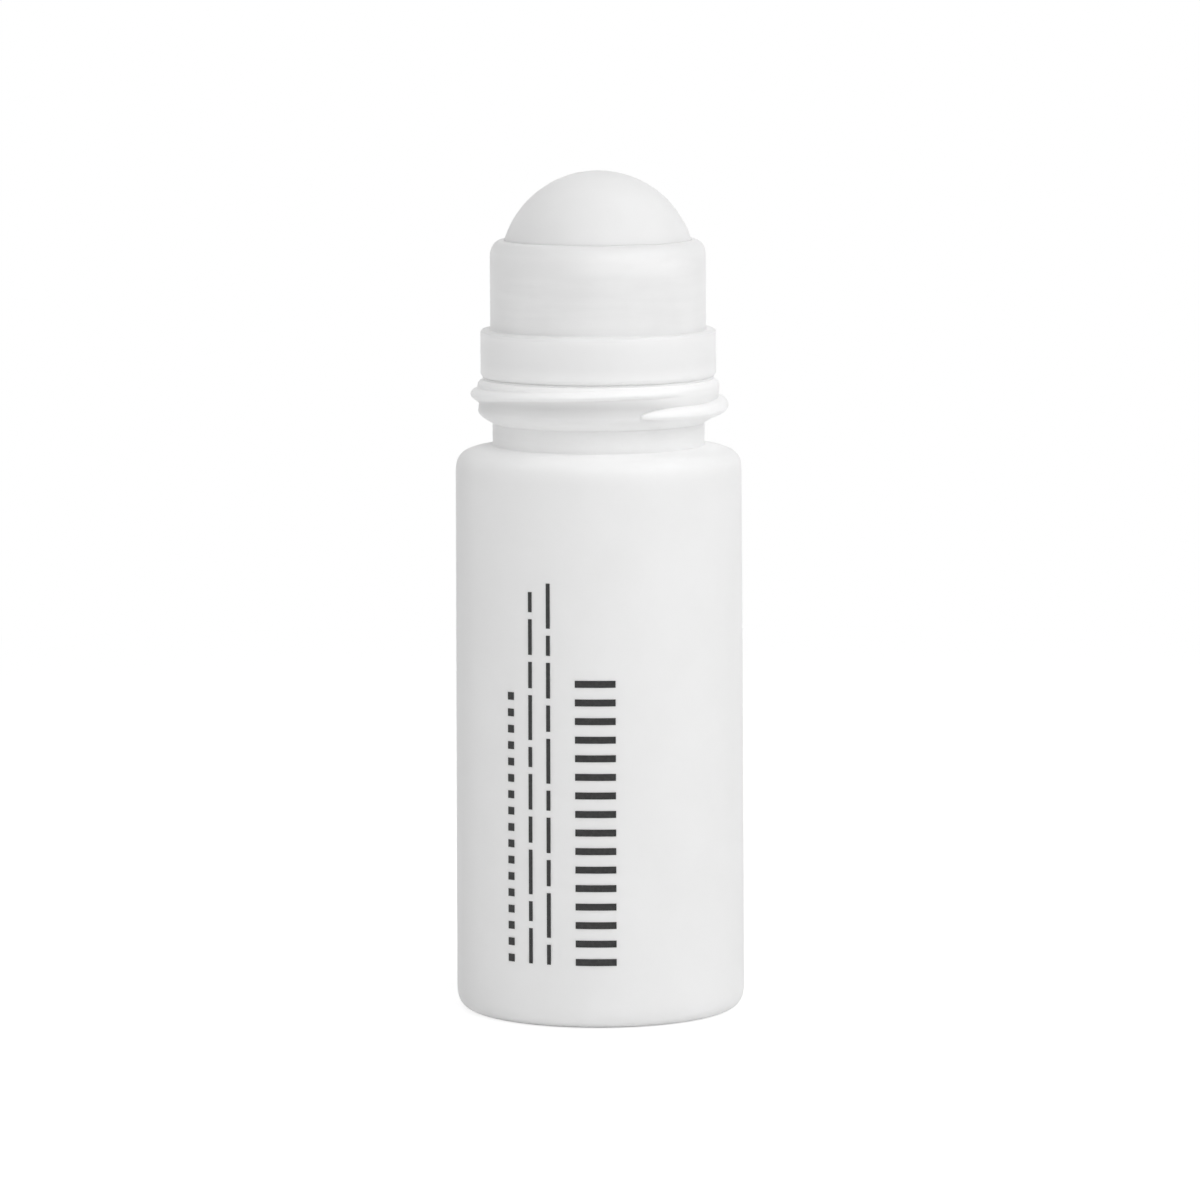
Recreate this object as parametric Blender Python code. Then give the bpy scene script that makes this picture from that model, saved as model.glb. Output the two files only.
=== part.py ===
"""A roll-on applicator: a blown bottle with a threaded neck, a push-fit housing and a hollow ball.

Metres, +Z up. The origin is the middle of the base, where the bottle stands. The front faces -Y.
Outlines are lists of (radius, height) points that are spun about the vertical axis.
"""

import math

import bmesh
import bpy

# Ball: one inch across, two half shells welded on its equator
BALL_RADIUS = 0.0127
BALL_WALL = 0.0014
WELD_TONGUE = 0.0012
WELD_GAP = 0.00015
TONGUE_SHARE = 0.45

# Housing: the cup round the ball, its retaining lip and the rim
BALL_CLEARANCE = 0.0002
CUP_WALL = 0.0011
LIP_RISE = 0.00355
RIM_THICKNESS = 0.0003
RIM_CORNER_WIDTH = 0.00145
RIM_CORNER_DROP = 0.00214
SEAT_ANGLE = math.radians(50)
SEAT_LAND_ANGLE = math.radians(4)
FLOOR_RISE = 0.0031
FLOOR_THICKNESS = 0.0013
THROAT_WALL = 0.001
THROAT_LENGTH = 0.0016
CUP_FOOT_RISE = 0.00102
RIB_COUNT = 6
RIB_THICKNESS = 0.0008
RIB_ROOT = 0.0004
RIB_TOP_ANGLE = math.radians(27)

# Housing: the skirt that snaps over the neck, and the plug inside it
SKIRT_STEP = 0.00128
SKIRT_WALL = 0.00108
SKIRT_HEIGHT = 0.00595
SKIRT_TOP_ROUND = 0.0005
SKIRT_FOOT_ROUND = 0.00045
WEB_THICKNESS = 0.0012
PLUG_WALL = 0.0009
PLUG_LENGTH = 0.0052
PLUG_LEAD_IN = 0.0003

# Where the housing meets the bottle
FIT_GAP = 0.0003
SPIGOT_WALL = 0.0014
BEAD_DEPTH = 0.00035
BEAD_HALF_HEIGHT = 0.0006
BEAD_PLACE_SHARE = 0.45

# Bottle: neck finish
COLLAR_STEP = 0.00042
COLLAR_HEIGHT = 0.00615
COLLAR_TOP_WIDTH = 0.0009
COLLAR_TOP_DROP = 0.00115
COLLAR_FOOT_HEIGHT = 0.0017
NECK_WALL = 0.0013
NECK_HEIGHT = 0.0026
NECK_FILLET = 0.0003

# Bottle: the thread, one start, rising to the right. Angles are counted from the front
THREAD_DEPTH = 0.00115
THREAD_HALF_HEIGHT = 0.00128
THREAD_SINK = 0.00025
THREAD_ROOT = 0.0007
THREAD_LEAD = 0.0033
THREAD_END_DROP = 0.001135
THREAD_START = math.radians(21)
THREAD_END = math.radians(411)
THREAD_RUN_IN = math.radians(32)
THREAD_RUN_OUT = math.radians(34)
THREAD_CREST_POWER = 1.6
THREAD_TIP_SHARE = 0.4
THREAD_HEEL_SHARE = 0.6

# Bottle: body, shoulder and base
BODY_RADIUS = 0.0188
BODY_DRAFT = 0.00015
BODY_HEIGHT = 0.0742
BOTTLE_WALL = 0.0011
SHOULDER_FALL = 0.00104
SHOULDER_DROP = 0.00326
SHOULDER_START_SHARE = 0.33
BASE_CORNER_WIDTH = 0.0024
BASE_CORNER_HEIGHT = 0.00285
BASE_RING_WIDTH = 0.0015
PUSH_UP_RIM = 0.0014
PUSH_UP_STEP = 0.0008
PUSH_UP_DOME = 0.0005
INNER_CORNER = 0.0022

# How far a rounded corner leans into its apex: a quarter circle is 0.55
ROUND_SHARE = 0.55
BASE_SHARE = 0.68
SHOULDER_SHARE = 0.82
UNDERCUT_SHARE = 0.42

# Facets
TURNS = 56
BALL_TURNS = 40
MERGE = 1e-7
SHARP_ANGLE = math.radians(32)

# Radii and heights that follow from the sizes above
CUP_RADIUS = BALL_RADIUS + BALL_CLEARANCE
HOUSING_RADIUS = CUP_RADIUS + CUP_WALL
SKIRT_RADIUS = HOUSING_RADIUS + SKIRT_STEP
SKIRT_BORE = SKIRT_RADIUS - SKIRT_WALL
SPIGOT_RADIUS = SKIRT_BORE - FIT_GAP
NECK_BORE = SPIGOT_RADIUS - SPIGOT_WALL
NECK_RADIUS = NECK_BORE + NECK_WALL
COLLAR_RADIUS = SKIRT_RADIUS + COLLAR_STEP
PLUG_RADIUS = NECK_BORE - FIT_GAP
PLUG_BORE = PLUG_RADIUS - PLUG_WALL

COLLAR_FOOT = BODY_HEIGHT + NECK_HEIGHT
COLLAR_TOP = COLLAR_FOOT + COLLAR_HEIGHT
SKIRT_TOP = COLLAR_TOP + SKIRT_HEIGHT
WEB_UNDERSIDE = SKIRT_TOP - WEB_THICKNESS
SPIGOT_TOP = WEB_UNDERSIDE - FIT_GAP
BEAD_HEIGHT = COLLAR_TOP + (SPIGOT_TOP - COLLAR_TOP) * BEAD_PLACE_SHARE
CUP_FOOT = SKIRT_TOP + CUP_FOOT_RISE
SEAT_HEIGHT = CUP_FOOT - FLOOR_RISE
BALL_HEIGHT = SEAT_HEIGHT + CUP_RADIUS * math.sin(SEAT_ANGLE)


def bend(start, apex, end, share, steps):
    """Points of a curve from start to end that leans towards apex by a share of each side."""
    first = [a + (b - a) * share for a, b in zip(start, apex)]
    second = [a + (b - a) * share for a, b in zip(end, apex)]
    points = []
    for step in range(steps + 1):
        t = step / steps
        weights = ((1 - t) ** 3, 3 * t * (1 - t) ** 2, 3 * t * t * (1 - t), t**3)
        corners = zip(start, first, second, end)
        points.append(tuple(sum(w * c for w, c in zip(weights, corner)) for corner in corners))
    return points


def sphere_arc(radius, centre, start, end, steps):
    """Points of a circle about the axis point at height centre, from one angle above the horizontal to another."""
    angles = [start + (end - start) * step / steps for step in range(steps + 1)]
    return [(radius * math.cos(angle), centre + radius * math.sin(angle)) for angle in angles]


def material(name, colour, roughness):
    made = bpy.data.materials.new(name)
    made.use_nodes = True
    shader = made.node_tree.nodes["Principled BSDF"]
    shader.inputs["Base Color"].default_value = (*colour, 1)
    shader.inputs["Roughness"].default_value = roughness
    shader.inputs["Metallic"].default_value = 0
    return made


def finished(name, shape, looks):
    """An object from a bmesh: doubles merged, faces outwards, round faces smooth."""
    bmesh.ops.remove_doubles(shape, verts=shape.verts[:], dist=MERGE)
    bmesh.ops.recalc_face_normals(shape, faces=shape.faces[:])
    mesh = bpy.data.meshes.new(name)
    shape.to_mesh(mesh)
    shape.free()
    mesh.shade_smooth()
    mesh.set_sharp_from_angle(angle=SHARP_ANGLE)
    mesh.materials.append(looks)
    made = bpy.data.objects.new(name, mesh)
    bpy.context.collection.objects.link(made)
    return made


def turned(name, outline, looks, turns, ring=False):
    """A solid of revolution. A ring's outline closes on itself; any other starts and ends on the axis."""
    shape = bmesh.new()
    points = [shape.verts.new((radius, 0, height)) for radius, height in outline]
    for first, second in zip(points, points[1:]):
        shape.edges.new((first, second))
    if ring:
        shape.edges.new((points[-1], points[0]))
    bmesh.ops.spin(
        shape,
        geom=shape.verts[:] + shape.edges[:],
        cent=(0, 0, 0),
        axis=(0, 0, 1),
        angle=math.tau,
        steps=turns,
        use_merge=True,
    )
    return finished(name, shape, looks)


def joined(target, helper):
    """Fuses a helper body to its carrier and keeps the helper out of the model."""
    helper.hide_render = True
    helper.display_type = "WIRE"
    union = target.modifiers.new(helper.name, "BOOLEAN")
    union.operation = "UNION"
    union.solver = "EXACT"
    union.object = helper


def base_outline():
    """The underside: a shallow dome, the step of the push-up, the standing ring and the corner."""
    ring_outer = BODY_RADIUS - BASE_CORNER_WIDTH
    ring_inner = ring_outer - BASE_RING_WIDTH
    step_inner = ring_inner - PUSH_UP_RIM
    dome = bend(
        (0, PUSH_UP_STEP + PUSH_UP_DOME), (step_inner / 2, PUSH_UP_STEP + PUSH_UP_DOME),
        (step_inner, PUSH_UP_STEP), ROUND_SHARE, 3,
    )
    step = bend(dome[-1], (ring_inner, PUSH_UP_STEP), (ring_inner, 0), ROUND_SHARE, 3)
    corner = bend(
        (ring_outer, 0), (BODY_RADIUS, 0), (BODY_RADIUS, BASE_CORNER_HEIGHT), BASE_SHARE, 6
    )
    return dome + step[1:] + corner


def shoulder_outline(wall, neck, steps):
    """The shoulder's corner, set in from the outer face by wall, and its foot at the radius neck."""
    side = BODY_RADIUS - BODY_DRAFT - wall
    slope = SHOULDER_FALL / (BODY_RADIUS - BODY_DRAFT - NECK_RADIUS)

    def on_slope(radius):
        return BODY_HEIGHT - wall - slope * (radius - NECK_RADIUS)

    start = NECK_RADIUS + (side - NECK_RADIUS) * SHOULDER_START_SHARE
    apex = (side, on_slope(side))
    foot = BODY_HEIGHT - SHOULDER_FALL - SHOULDER_DROP
    corner = bend((side, foot), apex, (start, on_slope(start)), SHOULDER_SHARE, steps)
    return corner, (neck, on_slope(neck))


def outer_shoulder():
    return shoulder_outline(0, NECK_RADIUS, 7)


def neck_outline():
    """The neck, the collar's undercut and rounded top, and the spigot with its snap bead."""
    _, foot = outer_shoulder()
    collar_flat = COLLAR_RADIUS - COLLAR_TOP_WIDTH
    fillet = bend(
        (foot[0] + NECK_FILLET, foot[1]), foot, (foot[0], foot[1] + NECK_FILLET), ROUND_SHARE, 2
    )
    undercut = bend(
        (NECK_RADIUS, COLLAR_FOOT), (COLLAR_RADIUS, COLLAR_FOOT),
        (COLLAR_RADIUS, COLLAR_FOOT + COLLAR_FOOT_HEIGHT), UNDERCUT_SHARE, 5,
    )
    top = bend(
        (COLLAR_RADIUS, COLLAR_TOP - COLLAR_TOP_DROP), (COLLAR_RADIUS, COLLAR_TOP),
        (collar_flat, COLLAR_TOP), ROUND_SHARE, 4,
    )
    spigot = [
        (SPIGOT_RADIUS, COLLAR_TOP),
        (SPIGOT_RADIUS, BEAD_HEIGHT - BEAD_HALF_HEIGHT),
        (SPIGOT_RADIUS + BEAD_DEPTH, BEAD_HEIGHT),
        (SPIGOT_RADIUS, BEAD_HEIGHT + BEAD_HALF_HEIGHT),
        (SPIGOT_RADIUS, SPIGOT_TOP),
    ]
    return fillet + undercut + top + spigot


def cavity_outline():
    """The inside of the bottle, from the mouth down the bore to the middle of its floor."""
    corner, foot = shoulder_outline(BOTTLE_WALL, NECK_BORE, 5)
    side = BODY_RADIUS - BOTTLE_WALL
    ring_outer = BODY_RADIUS - BASE_CORNER_WIDTH
    floor_edge = ring_outer - BASE_RING_WIDTH - PUSH_UP_RIM
    floor = bend(
        (side, BOTTLE_WALL + INNER_CORNER), (side, BOTTLE_WALL),
        (floor_edge, BOTTLE_WALL + PUSH_UP_STEP), BASE_SHARE, 4,
    )
    dome = bend(
        floor[-1], (floor_edge / 2, BOTTLE_WALL + PUSH_UP_STEP + PUSH_UP_DOME),
        (0, BOTTLE_WALL + PUSH_UP_STEP + PUSH_UP_DOME), ROUND_SHARE, 2,
    )
    return [(NECK_BORE, SPIGOT_TOP), foot] + corner[::-1] + floor + dome[1:]


def thread_size_shares(angle):
    """How much of the ridge stands at this angle, and how far down its narrow end keeps."""
    from_start = min((angle - THREAD_START) / THREAD_RUN_IN, 1)
    to_end = min((THREAD_END - angle) / THREAD_RUN_OUT, 1)
    share = min(from_start, to_end)
    return share * share * (3 - 2 * share), (1 if from_start < to_end else 0)


def thread_section(angle):
    """The ridge's outline at one angle, as (radius, height) points, bottom to top."""
    share, low_share = thread_size_shares(angle)
    half = THREAD_HALF_HEIGHT * (THREAD_TIP_SHARE + (1 - THREAD_TIP_SHARE) * share)
    end_height = COLLAR_TOP - THREAD_END_DROP
    crest = end_height - THREAD_LEAD * (THREAD_END - angle) / math.tau
    middle = crest - (THREAD_HALF_HEIGHT - half) * low_share
    steps = 8
    face = []
    for step in range(steps + 1):
        swing = math.pi * (step / steps - 1 / 2)
        swell = max(math.cos(swing), 0) ** THREAD_CREST_POWER
        stand = (THREAD_DEPTH * share + THREAD_SINK) * swell - THREAD_SINK
        face.append((COLLAR_RADIUS + stand, middle + half * math.sin(swing)))
    root = COLLAR_RADIUS - THREAD_ROOT
    return [(root, middle - half * THREAD_HEEL_SHARE)] + face + [(root, middle + half * THREAD_HEEL_SHARE)]


def thread_ridge(looks):
    """The helical ridge, swept round the collar with a run-in and a run-out."""
    shape = bmesh.new()
    steps = math.ceil((THREAD_END - THREAD_START) / math.tau * TURNS)
    rings = []
    for step in range(steps + 1):
        angle = THREAD_START + (THREAD_END - THREAD_START) * step / steps
        across, along = math.sin(angle), -math.cos(angle)
        section = thread_section(angle)
        rings.append([shape.verts.new((r * across, r * along, height)) for r, height in section])
    for ring, following in zip(rings, rings[1:]):
        for index, corner in enumerate(ring):
            before = index - 1
            shape.faces.new((ring[before], corner, following[index], following[before]))
    shape.faces.new(rings[0])
    shape.faces.new(rings[-1])
    return finished("thread_ridge", shape, looks)


def bottle():
    looks = material("satin_white_polyethylene", (0.86, 0.86, 0.86), 0.42)
    corner, _ = outer_shoulder()
    outline = base_outline() + corner + neck_outline() + cavity_outline()
    made = turned("bottle", outline, looks, TURNS)
    joined(made, thread_ridge(looks))
    return made


def skirt_outline():
    """The skirt from the top of its step down and up inside to the web, with the groove for the bead."""
    groove = SKIRT_BORE + BEAD_DEPTH
    half = BEAD_HALF_HEIGHT + FIT_GAP
    top = bend(
        (SKIRT_RADIUS - SKIRT_TOP_ROUND, SKIRT_TOP), (SKIRT_RADIUS, SKIRT_TOP),
        (SKIRT_RADIUS, SKIRT_TOP - SKIRT_TOP_ROUND), ROUND_SHARE, 3,
    )
    foot = bend(
        (SKIRT_RADIUS, COLLAR_TOP + SKIRT_FOOT_ROUND), (SKIRT_RADIUS, COLLAR_TOP),
        (SKIRT_RADIUS - SKIRT_FOOT_ROUND, COLLAR_TOP), ROUND_SHARE, 3,
    )
    inside = [
        (SKIRT_BORE, COLLAR_TOP),
        (SKIRT_BORE, BEAD_HEIGHT - half),
        (groove, BEAD_HEIGHT),
        (SKIRT_BORE, BEAD_HEIGHT + half),
        (SKIRT_BORE, WEB_UNDERSIDE),
    ]
    return top + foot + inside


def seat_points():
    """The seat ring's outer and inner edges, on the clearance sphere."""
    return sphere_arc(CUP_RADIUS, BALL_HEIGHT, -SEAT_ANGLE, -SEAT_ANGLE - SEAT_LAND_ANGLE, 1)


def plug_outline():
    """The plug in the bore, the underside of the cup's floor and the throat below the seat."""
    seat, land = seat_points()
    throat = land[0] + THROAT_WALL
    slope = FLOOR_RISE / (CUP_RADIUS - seat[0])

    def underside(radius):
        return seat[1] - FLOOR_THICKNESS + slope * (radius - seat[0])

    end = WEB_UNDERSIDE - PLUG_LENGTH
    throat_end = land[1] - THROAT_LENGTH
    return [
        (PLUG_RADIUS, WEB_UNDERSIDE),
        (PLUG_RADIUS, end + PLUG_LEAD_IN),
        (PLUG_RADIUS - PLUG_LEAD_IN, end),
        (PLUG_BORE, end),
        (PLUG_BORE, underside(PLUG_BORE)),
        (throat, underside(throat)),
        (throat, throat_end),
        (land[0], throat_end),
    ]


def cup_outline():
    """The inside of the cup from the seat up to the lip, then the rim and its outer corner."""
    seat, land = seat_points()
    lip_angle = math.asin(LIP_RISE / CUP_RADIUS)
    lip = sphere_arc(CUP_RADIUS, BALL_HEIGHT, 0, lip_angle, 3)
    rim_top = lip[-1][1] + RIM_THICKNESS
    rim = (HOUSING_RADIUS - RIM_CORNER_WIDTH, rim_top)
    corner = bend(
        rim, (HOUSING_RADIUS, rim_top), (HOUSING_RADIUS, rim_top - RIM_CORNER_DROP), ROUND_SHARE, 6
    )
    floor = [land, seat, (CUP_RADIUS, CUP_FOOT)]
    return floor + lip + corner + [(HOUSING_RADIUS, SKIRT_TOP)]


def seat_ribs(looks):
    """Ribs on the cup's floor that carry the ball and leave the way open for the liquid."""
    seat, _ = seat_points()
    top = sphere_arc(CUP_RADIUS, BALL_HEIGHT, -SEAT_ANGLE, -RIB_TOP_ANGLE, 4)
    outer = CUP_RADIUS + RIB_ROOT
    outline = top + [
        (outer, top[-1][1]),
        (outer, CUP_FOOT - RIB_ROOT),
        (seat[0], seat[1] - RIB_ROOT),
    ]
    shape = bmesh.new()
    for number in range(RIB_COUNT):
        angle = math.tau * (number + 1 / 2) / RIB_COUNT
        across, along = math.cos(angle), math.sin(angle)
        sides = []
        for offset in (-RIB_THICKNESS / 2, RIB_THICKNESS / 2):
            corners = [(r * across - offset * along, r * along + offset * across, z) for r, z in outline]
            sides.append([shape.verts.new(corner) for corner in corners])
        near, far = sides
        shape.faces.new(near)
        shape.faces.new(far)
        for index in range(len(outline)):
            shape.faces.new((near[index - 1], near[index], far[index], far[index - 1]))
    return finished("seat_ribs", shape, looks)


def ball_housing():
    looks = material("translucent_polypropylene", (0.84, 0.84, 0.84), 0.35)
    outline = skirt_outline() + plug_outline() + cup_outline()
    made = turned("ball_housing", outline, looks, TURNS, ring=True)
    joined(made, seat_ribs(looks))
    return made


def shell_outline(tongue):
    """A half shell as the upper one lies, its equator at height zero.

    The one with the tongue runs on below the equator; the other has the rebate that takes it.
    """
    inner = BALL_RADIUS - BALL_WALL
    split = inner + BALL_WALL * TONGUE_SHARE
    outside = sphere_arc(BALL_RADIUS, 0, math.pi / 2, 0, 10)
    if tongue:
        equator = [(split, 0), (split, -WELD_TONGUE), (inner, -WELD_TONGUE)]
        inside = sphere_arc(inner, 0, 0, math.pi / 2, 6)
    else:
        rebate = WELD_TONGUE + WELD_GAP
        equator = [(split + WELD_GAP, 0), (split + WELD_GAP, rebate)]
        inside = sphere_arc(inner, 0, math.asin(rebate / inner), math.pi / 2, 6)
    return outside + equator + inside


def ball(pivot):
    looks = material("milky_polypropylene_ball", (0.87, 0.87, 0.87), 0.25)
    upper = turned("ball_upper_shell", shell_outline(True), looks, BALL_TURNS)
    below = [(radius, -height) for radius, height in shell_outline(False)]
    lower = turned("ball_lower_shell", below, looks.copy(), BALL_TURNS)
    for shell in (upper, lower):
        shell.parent = pivot


def ball_pivot():
    """The middle of the ball, on the axis that it rolls about."""
    pivot = bpy.data.objects.new("ball_pivot", None)
    pivot.empty_display_size = BALL_RADIUS
    pivot.location = (0, 0, BALL_HEIGHT)
    bpy.context.collection.objects.link(pivot)
    return pivot


def main():
    for old in list(bpy.data.objects):
        bpy.data.objects.remove(old)
    bottle()
    ball_housing()
    ball(ball_pivot())
    print("ball centre at", round(BALL_HEIGHT, 5), "m, collar top at", round(COLLAR_TOP, 5), "m")


main()
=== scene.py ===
"""Looks of the roll-on applicator: fine shells, plastics, the printed marks, the studio and the camera.

Metres, +Z up. The front faces -Y. Outlines are (radius, height) points that are spun about the Z axis.
Angles are counted from the front towards +X.
"""

import itertools
import math

import bmesh
import bpy
from mathutils import Matrix, Vector


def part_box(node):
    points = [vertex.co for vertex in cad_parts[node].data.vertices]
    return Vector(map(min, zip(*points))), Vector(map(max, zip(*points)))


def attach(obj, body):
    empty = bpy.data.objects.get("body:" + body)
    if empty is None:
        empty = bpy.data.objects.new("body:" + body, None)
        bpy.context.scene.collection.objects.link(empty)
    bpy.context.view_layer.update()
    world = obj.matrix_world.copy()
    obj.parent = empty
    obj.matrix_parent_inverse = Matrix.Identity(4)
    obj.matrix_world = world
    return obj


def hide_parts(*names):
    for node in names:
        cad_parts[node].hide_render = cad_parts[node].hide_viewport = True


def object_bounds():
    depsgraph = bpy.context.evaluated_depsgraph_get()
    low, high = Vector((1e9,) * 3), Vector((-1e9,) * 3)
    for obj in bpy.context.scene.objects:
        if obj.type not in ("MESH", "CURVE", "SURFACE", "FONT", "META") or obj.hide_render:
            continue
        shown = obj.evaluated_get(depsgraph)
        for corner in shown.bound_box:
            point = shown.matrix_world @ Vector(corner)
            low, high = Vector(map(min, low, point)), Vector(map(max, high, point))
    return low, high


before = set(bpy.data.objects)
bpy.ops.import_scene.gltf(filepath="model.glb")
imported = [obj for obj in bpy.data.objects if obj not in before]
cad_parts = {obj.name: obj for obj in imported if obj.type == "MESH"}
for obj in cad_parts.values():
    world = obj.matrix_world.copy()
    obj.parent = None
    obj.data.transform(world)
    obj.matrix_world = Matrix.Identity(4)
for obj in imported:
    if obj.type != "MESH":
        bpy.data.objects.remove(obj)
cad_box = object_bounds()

# Main sizes, read from the frame
BODY_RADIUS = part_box("bottle")[1].x
BALL_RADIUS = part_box("ball_upper_shell")[1].x
BALL_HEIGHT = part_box("ball_upper_shell")[1].z - BALL_RADIUS
SPIGOT_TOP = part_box("bottle")[1].z
SKIRT_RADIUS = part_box("ball_housing")[1].x

# Ball
SEAM_WIDTH = 0.00016
SEAM_DEPTH = 0.00003

# Housing
BALL_CLEARANCE = 0.0002
LIP_GAP = 0.00002
CUP_WALL = 0.0011
LIP_RISE = 0.00379
RIM_THICKNESS = 0.00004
RIM_CORNER_WIDTH = 0.00145
RIM_CORNER_DROP = 0.00214
SEAT_ANGLE = math.radians(50)
SEAT_LAND_ANGLE = math.radians(4)
CUP_FOOT_RISE = 0.00102
FLOOR_RISE = 0.0031
FLOOR_THICKNESS = 0.0013
THROAT_WALL = 0.001
THROAT_LENGTH = 0.0016
RIB_COUNT = 6
RIB_THICKNESS = 0.0008
RIB_ROOT = 0.0004
RIB_TOP_ANGLE = math.radians(27)
SKIRT_WALL = 0.00108
SKIRT_TOP_ROUND = 0.00038
SKIRT_FOOT_WIDTH = 0.0003
SKIRT_FOOT_RISE = 0.0006
SKIRT_FOOT_CUT = 0.00025
SKIRT_LEAD_IN = 0.00035
WEB_THICKNESS = 0.0012
INNER_FILLET = 0.0003
PLUG_WALL = 0.0009
PLUG_LENGTH = 0.0052
PLUG_LEAD_IN = 0.0003
FIT_GAP = 0.0003

# Bottle: neck finish
SPIGOT_WALL = 0.0014
SPIGOT_ROUND = 0.0003
BEAD_DEPTH = 0.00035
BEAD_HALF_HEIGHT = 0.0006
BEAD_PLACE_SHARE = 0.45
SKIRT_HEIGHT = 0.00612
COLLAR_STEP = 0.00042
COLLAR_HEIGHT = 0.00598
COLLAR_TOP_DROP = 0.0009
LIP_FALL = 0.0003
COLLAR_UNDERSIDE_RISE = 0.00105
COLLAR_BULGE_RISE = 0.0017
COLLAR_BULGE_SINK = 0.00008
WAIST_RISE = 0.00265
WAIST_TOP_RISE = 0.003
WAIST_SINK = 0.00024
COLLAR_FULL_RISE = 0.0042
NOTCH_DEPTH = 0.00072
NOTCH_HEIGHT = 0.0003
NECK_WALL = 0.00126
NECK_HEIGHT = 0.00295
NECK_FILLET = 0.00018
NECK_LINE_HEIGHT = 0.0015
NECK_LINE_WIDTH = 0.00012
NECK_LINE_RISE = 0.00002

# Bottle: thread
THREAD_START_DROP = 0.0041
THREAD_LEAD = 0.0032
THREAD_DEPTH = 0.00122
THREAD_LAST_DEPTH = 0.0008
THREAD_UPPER_HALF = 0.00106
THREAD_LAST_UPPER_HALF = 0.0007
THREAD_LOWER_HALF = 0.0013
THREAD_FIRST_LOWER_HALF = 0.00055
THREAD_LAST_LOWER_HALF = 0.0005
THREAD_SINK = 0.00025
THREAD_ROOT_FILLET = 0.00022
THREAD_UPPER_POWER = 0.4
THREAD_LAST_UPPER_POWER = 0.6
THREAD_LOWER_POWER = 1.0
THREAD_MIDDLE_POWER = 1.5
THREAD_LAST_LOWER_POWER = 0.8
THREAD_FLANK_SLOPE = 3.0
THREAD_START = math.radians(20)
THREAD_END = math.radians(411)
THREAD_NOSE = math.radians(24)
THREAD_NOSE_POWER = 0.62
THREAD_NOSE_UPPER_SHARE = 0.12
THREAD_NOSE_LOWER_SHARE = 0.5
THREAD_FADE = math.radians(42)
THREAD_CLIMB_START = math.radians(58)
THREAD_CLIMB_END = math.radians(372)
THREAD_UPPER_TAPER = [math.radians(110), math.radians(350)]
THREAD_LOWER_TAPER = [math.radians(265), math.radians(325)]
THREAD_SWELL_END = math.radians(100)

# Bottle: body
BODY_DRAFT = 0.00024
BODY_HEIGHT = 0.07385
BOTTLE_WALL = 0.0011
SHOULDER_FALL = 0.00077
SHOULDER_DROP = 0.00295
SHOULDER_START_SHARE = 0.33
BASE_CORNER_WIDTH = 0.0024
BASE_CORNER_HEIGHT = 0.00285
BASE_RING_WIDTH = 0.0015
PUSH_UP_RIM = 0.0014
PUSH_UP_STEP = 0.0008
PUSH_UP_DOME = 0.0005
INNER_CORNER = 0.0022
PARTING_WIDTH = 0.00012
PARTING_RISE = 0.00002
PARTING_FADE_SHARE = 0.25
PINCH_WIDTH = 0.0004
PINCH_RISE = 0.0003
PINCH_LENGTH = 0.0105
PINCH_FADE_SHARE = 0.25

# How far a rounded corner leans into its apex: a quarter circle is 0.55
ROUND_SHARE = 0.55
BASE_SHARE = 0.68
SHOULDER_SHARE = 0.82
UNDERCUT_SHARE = 0.8
LIP_SHARE = 0.7
SKIRT_FOOT_SHARE = 0.4

# Print: a column of bars, a column of squares and two dashed lines
INK_THICKNESS = 0.000012
INK_SINK = 0.00003
PRINT_FOOT = 0.0084
PRINT_TOP = 0.0582
BAR_COLUMN_TOP = 0.0453
BAR_LEFT = math.radians(-9.8)
BAR_RIGHT = math.radians(6.3)
BAR_HEIGHT = 0.0009
BAR_COUNT = 16
SQUARES_TOP = 0.0434
SQUARES_ANGLE = math.radians(-37.6)
SQUARE_SIZE = 0.001
SQUARE_COUNT = 17
DASH_ANGLES = [math.radians(-28.5), math.radians(-20.7)]
DASH_WIDTH = 0.00055
DASH_GAP = 0.0009
DASH_LENGTHS = [0.0046, 0.0026, 0.0058, 0.0034]

# Facets
COLUMNS = 320
HOUSING_COLUMNS = 256
BALL_COLUMNS = 160
BALL_STEPS = 44
SHARP_ANGLE = math.radians(38)
COLLAR_ROW = 0.0001
BODY_ROW = 0.0025
NOSE_COLUMN = math.radians(0.3)
NOSE_COLUMNS = 36
NOSE_LEAD_COLUMNS = 2
MARK_COLUMN = math.radians(0.8)
SEAM_ROW_SHARES = (2, 1.5, 1, 0.5, 0, -0.5, -1, -1.5, -2)
PARTING_COLUMN_SHARES = (-2, -1, -0.5, 0, 0.5, 1, 2)

# Patterns of noise: the size of a patch, its stretch along X, Y and Z, and the detail in it
BOTTLE_CLOUDS = (0.011, (1, 1, 1), 3)
BOTTLE_DIE_LINES = (0.0007, (1, 1, 40), 2)
BOTTLE_GRAIN = (0.00009, (1, 1, 1), 3)
BOTTLE_UNEVENNESS = (0.0022, (1, 1, 1.8), 2)
NECK_WAVES = (0.0045, (1, 1, 0.2), 3)
HOUSING_FLOW = (0.009, (1, 1, 0.12), 3)
HOUSING_CLOUDS = (0.006, (1, 1, 1.6), 2)
HOUSING_GRAIN = (0.0001, (1, 1, 1), 3)
HOUSING_GLOW = (0.009, (1, 1, 0.4), 3)
BALL_CLOUDS = (0.007, (1, 1, 1), 3)
BALL_GRAIN = (0.00012, (1, 1, 1), 3)
INK_COVER = (0.0004, (1, 1, 1), 3)
INK_SCREEN = (0.00008, (1, 1, 1), 2)

# The levels of a noise between which a look changes
WIDE_RANGE = (0.3, 0.7)
NARROW_RANGE = (0.35, 0.65)
SCUFF_RANGE = (0.4, 0.65)
GLOW_RANGE = (0.38, 0.58)
COVER_RANGE = (0.35, 0.75)

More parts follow.
